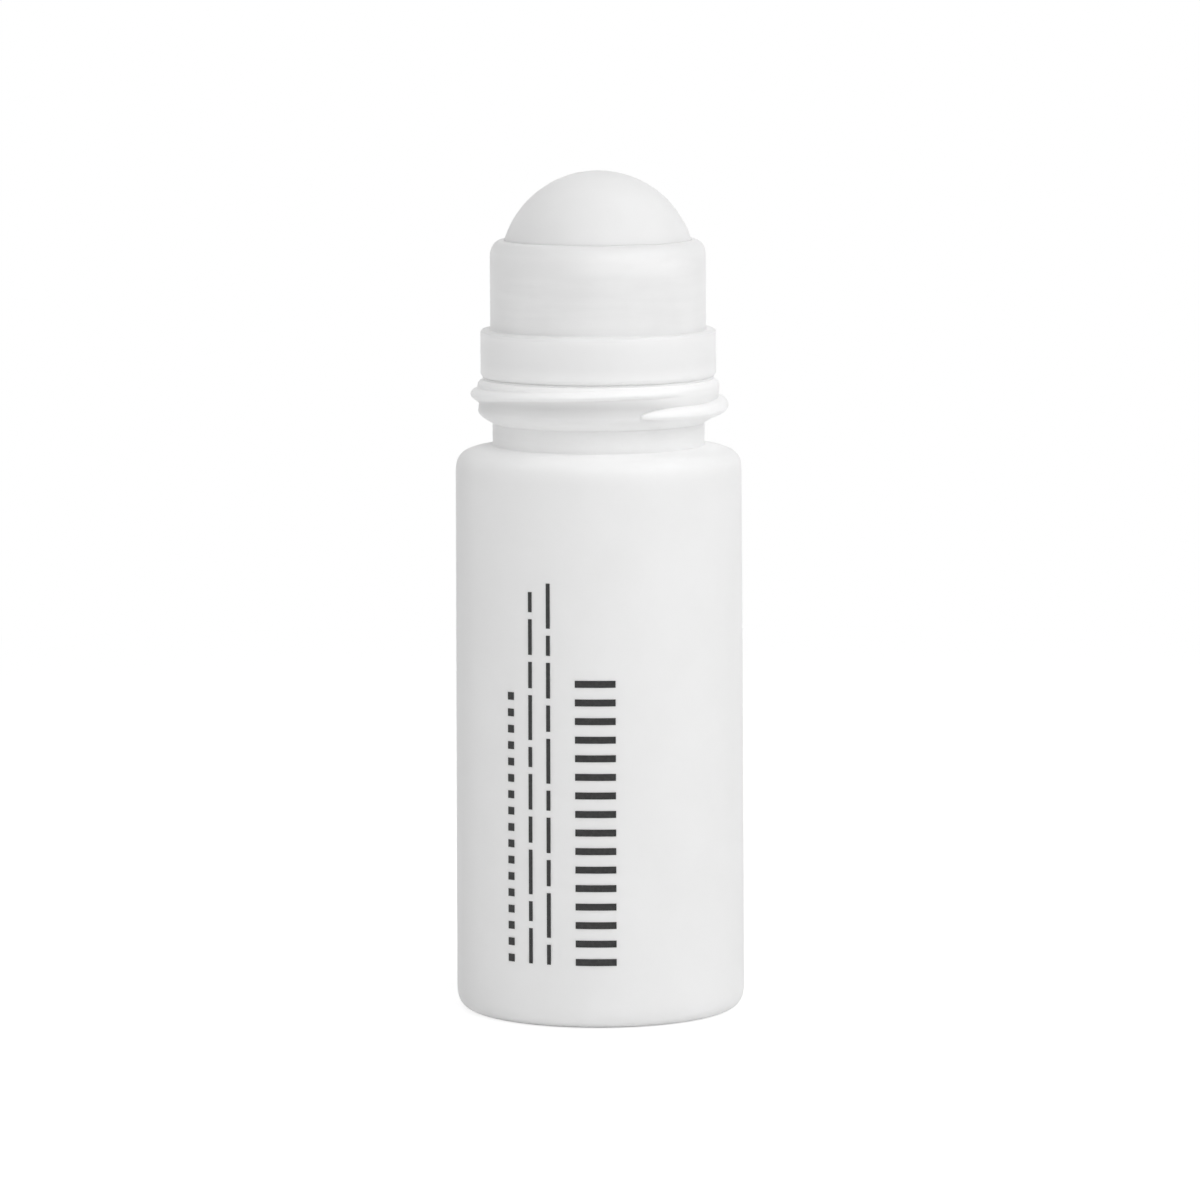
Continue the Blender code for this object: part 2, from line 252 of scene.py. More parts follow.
# How deep each pattern's relief is
UNEVENNESS_DEPTH = 0.00001
DIE_LINE_DEPTH = 0.0000012
WAVE_DEPTH = 0.00016
BOTTLE_GRAIN_DEPTH = 0.0000015
FLOW_DEPTH = 0.000012
CLOUD_DEPTH = 0.00002
GRAIN_DEPTH = 0.0000008
INK_DEPTH = 0.000001

# Where looks change: across the object from its middle towards +X, up it, or out from its axis
NECK_MIDDLE = 0.006
NECK_SIDE = 0.0125
SHADED_START = -0.0155
SHADED_END = -0.0188
GLOW_START = -0.006
GLOW_FULL = 0.001
GLOW_WANE = 0.008
GLOW_END = 0.013
BACKED_FADE = 0.0012
SCUFF_HEIGHT = 0.0001
SCUFF_FADE = 0.0006
POLISH_START = 0.0162
POLISH_FULL = 0.0168
POLISH_FADE = 0.0005

# How much of a look there is
# How much painted shade the collar's waist gets on the left and on the right
VALLEY_LEFT_SHARE = 0.7
VALLEY_RIGHT_SHARE = 0.15
FLOW_SHARE = 0.45
GLOW_LEAST_SHARE = 0.2
GLOW_END_SHARE = 0.35
BOTTLE_SCATTER_SHARE = 0.8
BLOOM_SHARE = 0.35

# Colours: a level of grey, or red, green, blue and alpha
WHITE = (1, 1, 1, 1)
BOTTLE_DARK = (0.86, 0.86, 0.859, 1)
BOTTLE_LIGHT = 0.877
NECK_LIGHT = (0.905, 0.905, 0.904, 1)
# Painted light on the sides of the neck
NECK_SIDE_LIGHT = 0.965
# Painted shade on the waist under the thread's turns
VALLEY_SHADE = 0.765
# Painted light in the notch under the skirt
NOTCH_LIGHT = 0.98
SHADED_GREY = 0.8
SCUFFED_GREY = (0.78, 0.78, 0.775, 1)
HOUSING_DARK = 0.83
HOUSING_LIGHT = 0.865
# Painted light on the housing's upper half, and a painted highlight patch
BACKED_DARK = 0.84
BACKED_LIGHT = 0.91
# Painted shade on the rim's corner
RIM_SHADE = 0.775
# Painted light on the lip at the ball
LIP_LIGHT = 0.97
# Painted shade on the step at the skirt's top and on its ledge
STEP_SHADE = 0.74
LEDGE_SHADE = 0.8
# Painted light on the skirt
SKIRT_LIGHT = 0.875
# Painted light on the skirt's foot
SKIRT_FOOT_LIGHT = 0.97
BALL_DARK = 0.81
BALL_LIGHT = 0.83
INK_DARK = 0.008
INK_LIGHT = 0.022

# Roughness, gloss and how far light scatters in the plastic
BOTTLE_ROUGHNESS = (0.4, 0.47)
POLISH_SMOOTHNESS = 0.08
SCUFF_ROUGHNESS = 0.2
HOUSING_ROUGHNESS = (0.31, 0.39)
BALL_ROUGHNESS = (0.46, 0.52)
BLOOM_ROUGHNESS = 0.5
INK_ROUGHNESS = (0.38, 0.52)
BOTTLE_GLOSS = 0.14
HOUSING_GLOSS = 0.22
BALL_GLOSS = 0.16
BOTTLE_SCATTER = 0.0006
HOUSING_SCATTER = 0.0008
BALL_SCATTER = 0.0006

# Lamps: name, azimuth and elevation in degrees, distance, size and power
LAMPS = (
    ("right_softbox", 70, 40, 1.1, 0.7, 4.15),
    ("front_softbox", 18, 40, 1.1, 0.7, 2.45),
    ("left_softbox", -40, 65, 1.1, 0.6, 2.1),
    ("low_softbox", -50, 10, 1.1, 0.7, 0.9),
    ("back_spark", 175, 14, 0.9, 0.02, 0.03),
)

# World and paper
WORLD_LIGHT = 0.37
FLOOR_SIZE = 30
FLOOR_BOUNCE = 0.93
FLOOR_SHADED = 0.35
FLOOR_LIFT = 0.8
FLOOR_NEAR = 0.1
FLOOR_FAR = 0.4
FLOOR_GLOW = 0.1
GLOW_FAR = 0.08

# Camera: angles in radians, lens and sensor in millimetres
CAMERA_DISTANCE = 0.886
CAMERA_HEIGHT = 0.1603
CAMERA_ASIDE = 0.0001
CAMERA_TILT = 0.12
CAMERA_ROLL = 0.004
CAMERA_LENS = 205.5
CAMERA_SENSOR = 36

# Radii and heights that follow
CUP_RADIUS = BALL_RADIUS + BALL_CLEARANCE
HOUSING_RADIUS = CUP_RADIUS + CUP_WALL
SKIRT_BORE = SKIRT_RADIUS - SKIRT_WALL
SPIGOT_RADIUS = SKIRT_BORE - FIT_GAP
NECK_BORE = SPIGOT_RADIUS - SPIGOT_WALL
NECK_RADIUS = NECK_BORE + NECK_WALL
COLLAR_RADIUS = SKIRT_RADIUS + COLLAR_STEP
PLUG_RADIUS = NECK_BORE - FIT_GAP
PLUG_BORE = PLUG_RADIUS - PLUG_WALL
COLLAR_FOOT = BODY_HEIGHT + NECK_HEIGHT
COLLAR_TOP = COLLAR_FOOT + COLLAR_HEIGHT
SKIRT_TOP = COLLAR_TOP + SKIRT_HEIGHT
WEB_UNDERSIDE = SKIRT_TOP - WEB_THICKNESS
BEAD_HEIGHT = COLLAR_TOP + (SPIGOT_TOP - COLLAR_TOP) * BEAD_PLACE_SHARE
CUP_FOOT = SKIRT_TOP + CUP_FOOT_RISE
LIP_ANGLE = math.asin(LIP_RISE / CUP_RADIUS)
LIP_RADIUS = (BALL_RADIUS + LIP_GAP) * math.cos(LIP_ANGLE)
RIM_TOP = BALL_HEIGHT + (BALL_RADIUS + LIP_GAP) * math.sin(LIP_ANGLE) + RIM_THICKNESS


def bend(start, apex, end, share, steps):
    """Points of a curve from start to end that leans towards apex by a share of each side."""
    first = [part_way(a, b, share) for a, b in zip(start, apex)]
    second = [part_way(a, b, share) for a, b in zip(end, apex)]
    points = []
    for step in range(steps + 1):
        t = step / steps
        weights = ((1 - t) ** 3, 3 * t * (1 - t) ** 2, 3 * t * t * (1 - t), t**3)
        corners = zip(start, first, second, end)
        points.append(tuple(sum(w * c for w, c in zip(weights, corner)) for corner in corners))
    return points


def closing_arc(first, last, centre, start, end, steps):
    """Points about a centre on the axis: from first to last away, at angles from start to end."""
    points = []
    for step in range(steps + 1):
        radius = part_way(first, last, step / steps)
        angle = part_way(start, end, step / steps)
        points.append((radius * math.cos(angle), centre + radius * math.sin(angle)))
    return points


def sphere_arc(radius, centre, start, end, steps):
    return closing_arc(radius, radius, centre, start, end, steps)


def rounded(points, reach, steps=4):
    """An open outline with its inner corners rounded off by up to reach."""
    made = [points[0]]
    for before, corner, after in zip(points, points[1:], points[2:]):
        back, ahead = math.dist(before, corner), math.dist(corner, after)
        start_share, end_share = min(reach / back, 1 / 3), min(reach / ahead, 1 / 3)
        start = tuple(part_way(c, b, start_share) for c, b in zip(corner, before))
        end = tuple(part_way(c, a, end_share) for c, a in zip(corner, after))
        made += bend(start, corner, end, ROUND_SHARE, steps)
    return made + [points[-1]]


def with_rows(points, spacing):
    """The outline with points added so that no two are further apart than spacing."""
    made = [points[0]]
    for start, end in zip(points, points[1:]):
        pieces = max(math.ceil(math.dist(start, end) / spacing), 1)
        for piece in range(1, pieces + 1):
            made.append(tuple(part_way(a, b, piece / pieces) for a, b in zip(start, end)))
    return made


def smooth_max(first, second, reach):
    """The larger of two lengths, rounded off where they are closer than reach."""
    near = max(reach - abs(first - second), 0)
    return max(first, second) + near * near / (4 * reach)


def smooth_step(share):
    share = min(max(share, 0), 1)
    return share * share * (3 - 2 * share)


def between(value, start, end):
    """How far a value has come from start to end, as a share."""
    return (value - start) / (end - start)


def part_way(first, second, share):
    return first + (second - first) * share


def bump(distance, width):
    """A bell of height 1 that is gone at two widths."""
    return math.exp(-((distance / width) ** 2) * 2)


def turned(name, outline, angles, shaping=None, ring=False):
    """A spun surface. shaping moves a point: (angle, radius, height) -> (radius, height).

    A ring's outline closes on itself; any other starts and ends on the axis.
    """
    corners, rows = [], []
    for radius, height in outline:
        if radius <= 0:
            height = shaping(0, 0, height)[1] if shaping else height
            rows.append([len(corners)] * len(angles))
            corners.append((0, 0, height))
            continue
        rows.append(range(len(corners), len(corners) + len(angles)))
        for angle in angles:
            r, z = shaping(angle, radius, height) if shaping else (radius, height)
            corners.append((r * math.sin(angle), -r * math.cos(angle), z))
    faces = []
    following = rows[1:] + rows[:1] if ring else rows[1:]
    for row, after in zip(rows, following):
        for index in range(len(angles)):
            face = (row[index - 1], row[index], after[index], after[index - 1])
            face = tuple(dict.fromkeys(face))
            if len(face) > 2:
                faces.append(face)
    mesh = bpy.data.meshes.new(name)
    mesh.from_pydata(corners, [], faces)
    return placed(name, mesh)


def placed(name, mesh):
    """The object of a finished mesh: faces outwards, round faces smooth."""
    shape = bmesh.new()
    shape.from_mesh(mesh)
    bmesh.ops.recalc_face_normals(shape, faces=shape.faces[:])
    shape.to_mesh(mesh)
    shape.free()
    mesh.shade_smooth()
    mesh.set_sharp_from_angle(angle=SHARP_ANGLE)
    made = bpy.data.objects.new(name, mesh)
    bpy.context.collection.objects.link(made)
    return made


def even_angles(count):
    return [math.tau * index / count for index in range(count)]


def bottle_angles():
    """Even angles, with finer ones about the mould's parting lines and the thread's nose."""
    offsets = [PARTING_WIDTH / BODY_RADIUS * share for share in PARTING_COLUMN_SHARES]
    fine = [side + offset for side in (math.pi / 2, 3 * math.pi / 2) for offset in offsets]
    fine += [THREAD_START + NOSE_COLUMN * (number - NOSE_LEAD_COLUMNS) for number in range(NOSE_COLUMNS)]
    half_column = math.pi / COLUMNS
    even = [a for a in even_angles(COLUMNS) if all(abs(a - f) > half_column for f in fine)]
    return sorted(even + fine)


def base_outline():
    ring_outer = BODY_RADIUS - BASE_CORNER_WIDTH
    ring_inner = ring_outer - BASE_RING_WIDTH
    step_inner = ring_inner - PUSH_UP_RIM
    dome_top = PUSH_UP_STEP + PUSH_UP_DOME
    step_edge = (step_inner, PUSH_UP_STEP)
    dome = bend((0, dome_top), (step_inner / 2, dome_top), step_edge, ROUND_SHARE, steps=24)
    step = bend(step_edge, (ring_inner, PUSH_UP_STEP), (ring_inner, 0), ROUND_SHARE, steps=10)
    side = (BODY_RADIUS, BASE_CORNER_HEIGHT)
    corner = bend((ring_outer, 0), (BODY_RADIUS, 0), side, BASE_SHARE, steps=20)
    return dome + step[1:] + corner


def shoulder_outline(wall, neck, steps):
    """The shoulder's corner, set in from the outer face by wall, and its end at the radius neck."""
    side = BODY_RADIUS - BODY_DRAFT - wall
    slope = SHOULDER_FALL / (BODY_RADIUS - BODY_DRAFT - NECK_RADIUS)

    def on_slope(radius):
        return BODY_HEIGHT - wall - slope * (radius - NECK_RADIUS)

    start = NECK_RADIUS + (side - NECK_RADIUS) * SHOULDER_START_SHARE
    foot = (side, BODY_HEIGHT - SHOULDER_FALL - SHOULDER_DROP)
    corner = bend(foot, (side, on_slope(side)), (start, on_slope(start)), SHOULDER_SHARE, steps)
    return corner, (neck, on_slope(neck))


def neck_outline(foot):
    """The neck, the collar with its bulge, waist and lip, the notch above it and the spigot."""
    start, end = (foot[0] + NECK_FILLET, foot[1]), (foot[0], foot[1] + NECK_FILLET)
    fillet = bend(start, foot, end, ROUND_SHARE, steps=6)
    bulge = COLLAR_RADIUS - COLLAR_BULGE_SINK
    waist = COLLAR_RADIUS - WAIST_SINK
    lip = COLLAR_TOP - NOTCH_HEIGHT
    notch = COLLAR_RADIUS - NOTCH_DEPTH
    underside = bend(
        (NECK_RADIUS, COLLAR_FOOT), (bulge, COLLAR_FOOT + COLLAR_UNDERSIDE_RISE),
        (bulge, COLLAR_FOOT + COLLAR_BULGE_RISE), UNDERCUT_SHARE, steps=24,
    )
    middle = rounded([
        underside[-1],
        (waist, COLLAR_FOOT + WAIST_RISE),
        (waist, COLLAR_FOOT + WAIST_TOP_RISE),
        (COLLAR_RADIUS, COLLAR_FOOT + COLLAR_FULL_RISE),
        (COLLAR_RADIUS, lip - COLLAR_TOP_DROP),
    ], WAIST_SINK)
    top = bend(middle[-1], (COLLAR_RADIUS, lip - LIP_FALL), (notch, lip), LIP_SHARE, steps=14)
    spigot = rounded([
        (notch, lip),
        (notch, COLLAR_TOP),
        (SPIGOT_RADIUS, COLLAR_TOP),
        (SPIGOT_RADIUS, BEAD_HEIGHT - BEAD_HALF_HEIGHT),
        (SPIGOT_RADIUS + BEAD_DEPTH, BEAD_HEIGHT),
        (SPIGOT_RADIUS, BEAD_HEIGHT + BEAD_HALF_HEIGHT),
        (SPIGOT_RADIUS, SPIGOT_TOP),
        (NECK_BORE, SPIGOT_TOP),
        (NECK_BORE, SPIGOT_TOP - SPIGOT_WALL),
    ], SPIGOT_ROUND)
    line, reach = BODY_HEIGHT + NECK_LINE_HEIGHT, NECK_LINE_WIDTH * 2
    neck = with_rows([(NECK_RADIUS, line - reach), (NECK_RADIUS, line + reach)], NECK_LINE_WIDTH / 2)
    return fillet + neck + with_rows(underside + middle[1:] + top[1:], COLLAR_ROW) + spigot[1:]


def cavity_outline():
    """The inside of the bottle, from the bore down to the middle of its floor."""
    corner, foot = shoulder_outline(BOTTLE_WALL, NECK_BORE, steps=12)
    side = BODY_RADIUS - BOTTLE_WALL
    floor_edge = BODY_RADIUS - BASE_CORNER_WIDTH - BASE_RING_WIDTH - PUSH_UP_RIM
    floor_height = BOTTLE_WALL + PUSH_UP_STEP
    dome_top = floor_height + PUSH_UP_DOME
    start, edge = (side, BOTTLE_WALL + INNER_CORNER), (floor_edge, floor_height)
    floor = bend(start, (side, BOTTLE_WALL), edge, BASE_SHARE, steps=10)
    dome = bend(edge, (floor_edge / 2, dome_top), (0, dome_top), ROUND_SHARE, steps=8)
    return [foot] + corner[::-1] + floor + dome[1:]


def thread_radius(angle, radius, height):
    """The outer radius at one place of the collar, with the ridge of the thread blended in."""
    for turn in (angle, angle + math.tau):
        if not THREAD_START < turn < THREAD_END:
            continue
        nose = min((turn - THREAD_START) / THREAD_NOSE, 1)
        growth = (nose * (2 - nose)) ** THREAD_NOSE_POWER
        share = growth * smooth_step((THREAD_END - turn) / THREAD_FADE)
        taper = smooth_step(between(turn, *THREAD_UPPER_TAPER))
        late = smooth_step(between(turn, *THREAD_LOWER_TAPER))
        swell = smooth_step(between(turn, THREAD_START, THREAD_SWELL_END))
        climbed = min(max(turn, THREAD_CLIMB_START), THREAD_CLIMB_END) - THREAD_CLIMB_START
        crest = COLLAR_TOP - THREAD_START_DROP + THREAD_LEAD * climbed / math.tau
        depth = part_way(THREAD_DEPTH, THREAD_LAST_DEPTH, taper)
        if height > crest:
            half = part_way(THREAD_UPPER_HALF, THREAD_LAST_UPPER_HALF, taper)
            half *= part_way(THREAD_NOSE_UPPER_SHARE, 1, growth)
            power = part_way(THREAD_UPPER_POWER, THREAD_LAST_UPPER_POWER, taper)
        else:
            half = part_way(THREAD_FIRST_LOWER_HALF, THREAD_LOWER_HALF, swell)
            half = part_way(half, THREAD_LAST_LOWER_HALF, late)
            half *= part_way(THREAD_NOSE_LOWER_SHARE, 1, growth)
            power = part_way(THREAD_LOWER_POWER, THREAD_MIDDLE_POWER, taper)
            power = part_way(power, THREAD_LAST_LOWER_POWER, late)
        place = abs(height - crest) / half
        if place < 1:
            stand = (depth + THREAD_SINK) * (1 - place * place) ** power - THREAD_SINK
        else:
            stand = -THREAD_SINK - THREAD_FLANK_SLOPE * (place - 1) * half
        ridge = smooth_max(radius, COLLAR_RADIUS + stand, THREAD_ROOT_FILLET)
        radius = part_way(radius, ridge, share)
    return radius


def bottle_shaping(angle, radius, height):
    """Adds the thread, the parting lines of the mould and the pinched seam under the base."""
    if COLLAR_FOOT < height < COLLAR_TOP - NOTCH_HEIGHT and radius > NECK_RADIUS:
        return thread_radius(angle, radius, height), height
    if radius == NECK_RADIUS and height < COLLAR_FOOT:
        rise = NECK_LINE_RISE * bump(height - BODY_HEIGHT - NECK_LINE_HEIGHT, NECK_LINE_WIDTH)
        return radius + rise, height
    if PUSH_UP_STEP < height < PUSH_UP_STEP + PUSH_UP_DOME + PINCH_RISE and radius < PINCH_LENGTH * 2:
        across, along = radius * math.cos(angle), radius * math.sin(angle)
        past = (abs(along) - PINCH_LENGTH) / (PINCH_LENGTH * PINCH_FADE_SHARE)
        return radius, height - PINCH_RISE * bump(across, PINCH_WIDTH) * (1 - smooth_step(past))
    if BASE_CORNER_HEIGHT < height < BODY_HEIGHT and radius > NECK_RADIUS + NECK_FILLET:
        off_line = radius * math.sqrt(2 * (1 - abs(math.sin(angle))))
        up = (height - BASE_CORNER_HEIGHT) / (BODY_HEIGHT * PARTING_FADE_SHARE)
        return radius + PARTING_RISE * smooth_step(up) * bump(off_line, PARTING_WIDTH), height
    return radius, height


def bottle_shell():
    corner, foot = shoulder_outline(0, NECK_RADIUS, steps=28)
    body = with_rows(base_outline() + corner, BODY_ROW)
    outline = body + neck_outline(foot) + with_rows(cavity_outline(), BODY_ROW * 2)
    made = turned("bottle_shell", outline, bottle_angles(), bottle_shaping)
    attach(made, "container")
    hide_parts("bottle")
    return made


def skirt_outline():
    """The skirt from the top of its step down and up inside to the web."""
    groove = SKIRT_BORE + BEAD_DEPTH
    half = BEAD_HALF_HEIGHT + FIT_GAP
    top = bend(
        (SKIRT_RADIUS - SKIRT_TOP_ROUND, SKIRT_TOP), (SKIRT_RADIUS, SKIRT_TOP),
        (SKIRT_RADIUS, SKIRT_TOP - SKIRT_TOP_ROUND), ROUND_SHARE, steps=8,
    )
    foot = bend(
        (SKIRT_RADIUS, COLLAR_TOP + SKIRT_FOOT_RISE), (SKIRT_RADIUS, COLLAR_TOP + SKIRT_FOOT_CUT),
        (SKIRT_RADIUS - SKIRT_FOOT_WIDTH, COLLAR_TOP), SKIRT_FOOT_SHARE, steps=10,
    )
    inside = rounded([
        foot[-1],
        (SKIRT_BORE, COLLAR_TOP),
        (SKIRT_BORE, BEAD_HEIGHT - half),
        (groove, BEAD_HEIGHT),
        (SKIRT_BORE, BEAD_HEIGHT + half),
        (SKIRT_BORE, WEB_UNDERSIDE),
        ((SKIRT_BORE + PLUG_RADIUS) / 2, WEB_UNDERSIDE),
    ], SKIRT_LEAD_IN)
    return top + foot + inside[1:]


def plug_outline(seat, land):
    """The plug in the bore, the underside of the cup's floor and the throat below the seat."""
    throat = land[0] + THROAT_WALL
    slope = FLOOR_RISE / (CUP_RADIUS - seat[0])

    def underside(radius):
        return seat[1] - FLOOR_THICKNESS + slope * (radius - seat[0])

    end = WEB_UNDERSIDE - PLUG_LENGTH
    throat_end = land[1] - THROAT_LENGTH
    return rounded([
        ((SKIRT_BORE + PLUG_RADIUS) / 2, WEB_UNDERSIDE),
        (PLUG_RADIUS, WEB_UNDERSIDE),
        (PLUG_RADIUS, end + PLUG_LEAD_IN),
        (PLUG_RADIUS - PLUG_LEAD_IN, end),
        (PLUG_BORE, end),
        (PLUG_BORE, underside(PLUG_BORE)),
        (throat, underside(throat)),
        (throat, throat_end),
        (land[0], throat_end),
        land,
    ], INNER_FILLET)


def cup_outline(seat):
    """The inside of the cup from the seat up to the lip, then the rim and its outer corner."""
    floor = rounded([seat, (CUP_RADIUS, CUP_FOOT), (CUP_RADIUS, BALL_HEIGHT)], INNER_FILLET)
    lip = closing_arc(CUP_RADIUS, BALL_RADIUS + LIP_GAP, BALL_HEIGHT, 0, LIP_ANGLE, steps=12)
    inner = lip[-1][0]
    edge = bend(lip[-1], (inner, RIM_TOP), (inner + RIM_THICKNESS, RIM_TOP), ROUND_SHARE, steps=5)
    corner = bend(
        (HOUSING_RADIUS - RIM_CORNER_WIDTH, RIM_TOP), (HOUSING_RADIUS, RIM_TOP),
        (HOUSING_RADIUS, RIM_TOP - RIM_CORNER_DROP), ROUND_SHARE, steps=20,
    )
    wall_foot = rounded([
        corner[-1],
        (HOUSING_RADIUS, SKIRT_TOP),
        (SKIRT_RADIUS - SKIRT_TOP_ROUND, SKIRT_TOP),
    ], INNER_FILLET)
    return floor + lip[1:] + edge[1:] + corner + wall_foot[1:-1]


def seat_ribs(seat):
    """Ribs on the cup's floor that carry the ball and leave the way open for the liquid."""
    top = sphere_arc(CUP_RADIUS, BALL_HEIGHT, -SEAT_ANGLE, -RIB_TOP_ANGLE, steps=12)
    outer = CUP_RADIUS + RIB_ROOT
    outline = top + [(outer, top[-1][1]), (outer, CUP_FOOT - RIB_ROOT), (seat[0], seat[1] - RIB_ROOT)]
    shape = bmesh.new()
    for number in range(RIB_COUNT):
        angle = math.tau * (number + 1 / 2) / RIB_COUNT
        across, along = math.cos(angle), math.sin(angle)
        sides = []
        for offset in (-RIB_THICKNESS / 2, RIB_THICKNESS / 2):
            corners = [(r * across - offset * along, r * along + offset * across, z) for r, z in outline]
            sides.append([shape.verts.new(corner) for corner in corners])
        near, far = sides
        shape.faces.new(near)
        shape.faces.new(far)
        for index in range(len(outline)):
            shape.faces.new((near[index - 1], near[index], far[index], far[index - 1]))
    mesh = bpy.data.meshes.new("seat_ribs")
    shape.to_mesh(mesh)
    shape.free()
    return placed("seat_ribs", mesh)


def fused(target, helper):
    """Joins the helper's solid to the target's and takes the helper out of the scene."""
    union = target.modifiers.new(helper.name, "BOOLEAN")
    union.operation = "UNION"
    union.solver = "EXACT"
    union.object = helper
    bpy.context.view_layer.update()
    depsgraph = bpy.context.evaluated_depsgraph_get()
    whole = bpy.data.meshes.new_from_object(target.evaluated_get(depsgraph))
    target.modifiers.remove(union)
    target.data = whole
    bpy.data.objects.remove(helper)


def housing_shell():
    seat, land = sphere_arc(CUP_RADIUS, BALL_HEIGHT, -SEAT_ANGLE, -SEAT_ANGLE - SEAT_LAND_ANGLE, steps=1)
    outline = skirt_outline() + plug_outline(seat, land)[1:] + cup_outline(seat)
    made = turned("housing_shell", with_rows(outline, BODY_ROW), even_angles(HOUSING_COLUMNS), ring=True)
    fused(made, seat_ribs(seat))
    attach(made, "container")
    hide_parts("ball_housing")
    return made


def ball_shaping(angle, radius, height):
    """Adds the faint groove that the weld leaves on the equator."""
    return radius - SEAM_DEPTH * bump(height - BALL_HEIGHT, SEAM_WIDTH), height


def rolling_ball():
    """The outside of the hollow ball, its two half shells welded into one."""
    seam = [SEAM_WIDTH / BALL_RADIUS * share for share in SEAM_ROW_SHARES]
    upper = sphere_arc(BALL_RADIUS, BALL_HEIGHT, math.pi / 2, seam[0], BALL_STEPS)
    lower = sphere_arc(BALL_RADIUS, BALL_HEIGHT, seam[-1], -math.pi / 2, BALL_STEPS)
    middle = [sphere_arc(BALL_RADIUS, BALL_HEIGHT, angle, angle, steps=1)[0] for angle in seam[1:-1]]
    top, bottom = (0, BALL_HEIGHT + BALL_RADIUS), (0, BALL_HEIGHT - BALL_RADIUS)
    outline = [top] + upper[1:] + middle + lower[:-1] + [bottom]
    made = turned("rolling_ball", outline, even_angles(BALL_COLUMNS), ball_shaping)
    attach(made, "ball")
    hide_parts("ball_upper_shell", "ball_lower_shell")
    return made


def body_radius_at(height):
    """The outer radius of the body's straight side."""
    high = BODY_HEIGHT - SHOULDER_FALL - SHOULDER_DROP
    return BODY_RADIUS - BODY_DRAFT * between(height, BASE_CORNER_HEIGHT, high)


def mark(shape, left, right, low, high):
    """One solid film of ink between two angles and two heights."""
    columns = max(math.ceil((right - left) / MARK_COLUMN), 1)
    section = ((low, -INK_SINK), (low, INK_THICKNESS), (high, INK_THICKNESS), (high, -INK_SINK))
    rings = []
    for step in range(columns + 1):
        angle = part_way(left, right, step / columns)
        ring = []
        for height, stand in section:
            radius = body_radius_at(height) + stand
            ring.append(shape.verts.new((radius * math.sin(angle), -radius * math.cos(angle), height)))
        rings.append(ring)
    for ring, following in zip(rings, rings[1:]):
        for index in range(len(ring)):
            shape.faces.new((ring[index - 1], ring[index], following[index], following[index - 1]))
    shape.faces.new(rings[0])
    shape.faces.new(rings[-1])


def printed_marks():
    """The print on the front: a column of bars, a column of squares and two fine dashed lines."""
    shape = bmesh.new()
    for low in even_places(PRINT_FOOT, BAR_COLUMN_TOP, BAR_HEIGHT, BAR_COUNT):
        mark(shape, BAR_LEFT, BAR_RIGHT, low, low + BAR_HEIGHT)
    half = SQUARE_SIZE / BODY_RADIUS / 2
    for low in even_places(PRINT_FOOT, SQUARES_TOP, SQUARE_SIZE, SQUARE_COUNT):
        mark(shape, SQUARES_ANGLE - half, SQUARES_ANGLE + half, low, low + SQUARE_SIZE)
    half = DASH_WIDTH / BODY_RADIUS / 2
    for first, angle in enumerate(DASH_ANGLES):
        low = PRINT_FOOT
        for length in itertools.cycle(DASH_LENGTHS[first:] + DASH_LENGTHS[:first]):
            high = low + length
            if high >= PRINT_TOP:
                break
            mark(shape, angle - half, angle + half, low, high)
            low = high + DASH_GAP
    mesh = bpy.data.meshes.new("printed_marks")
    shape.to_mesh(mesh)
    shape.free()
    made = placed("printed_marks", mesh)
    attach(made, "container")
    return made


def even_places(low, high, size, count):
    """The low ends of count pieces of one size, spread evenly from low to high."""
    return [part_way(low, high - size, index / (count - 1)) for index in range(count)]


def add(tree, kind, inputs, **settings):
    """A new node. Each input is a value or the socket that it is linked from."""
    made = tree.nodes.new("ShaderNode" + kind)
    for name, value in settings.items():
        setattr(made, name, value)
    for name, value in inputs.items():
        if isinstance(value, bpy.types.NodeSocket):
            tree.links.new(value, made.inputs[name])
        else:
            made.inputs[name].default_value = value
    return made


def eased(tree, value, start, end, low=0, high=1):
    """The value carried from start..end over to low..high, smoothly and no further."""
    inputs = {"Value": value, "From Min": start, "From Max": end, "To Min": low, "To Max": high}
    return add(tree, "MapRange", inputs, interpolation_type="SMOOTHSTEP").outputs["Result"]


def full_colour(colour):
    """The colour of a grey level. A colour or a socket stays as it is."""
    return (colour, colour, colour, 1) if isinstance(colour, float) else colour


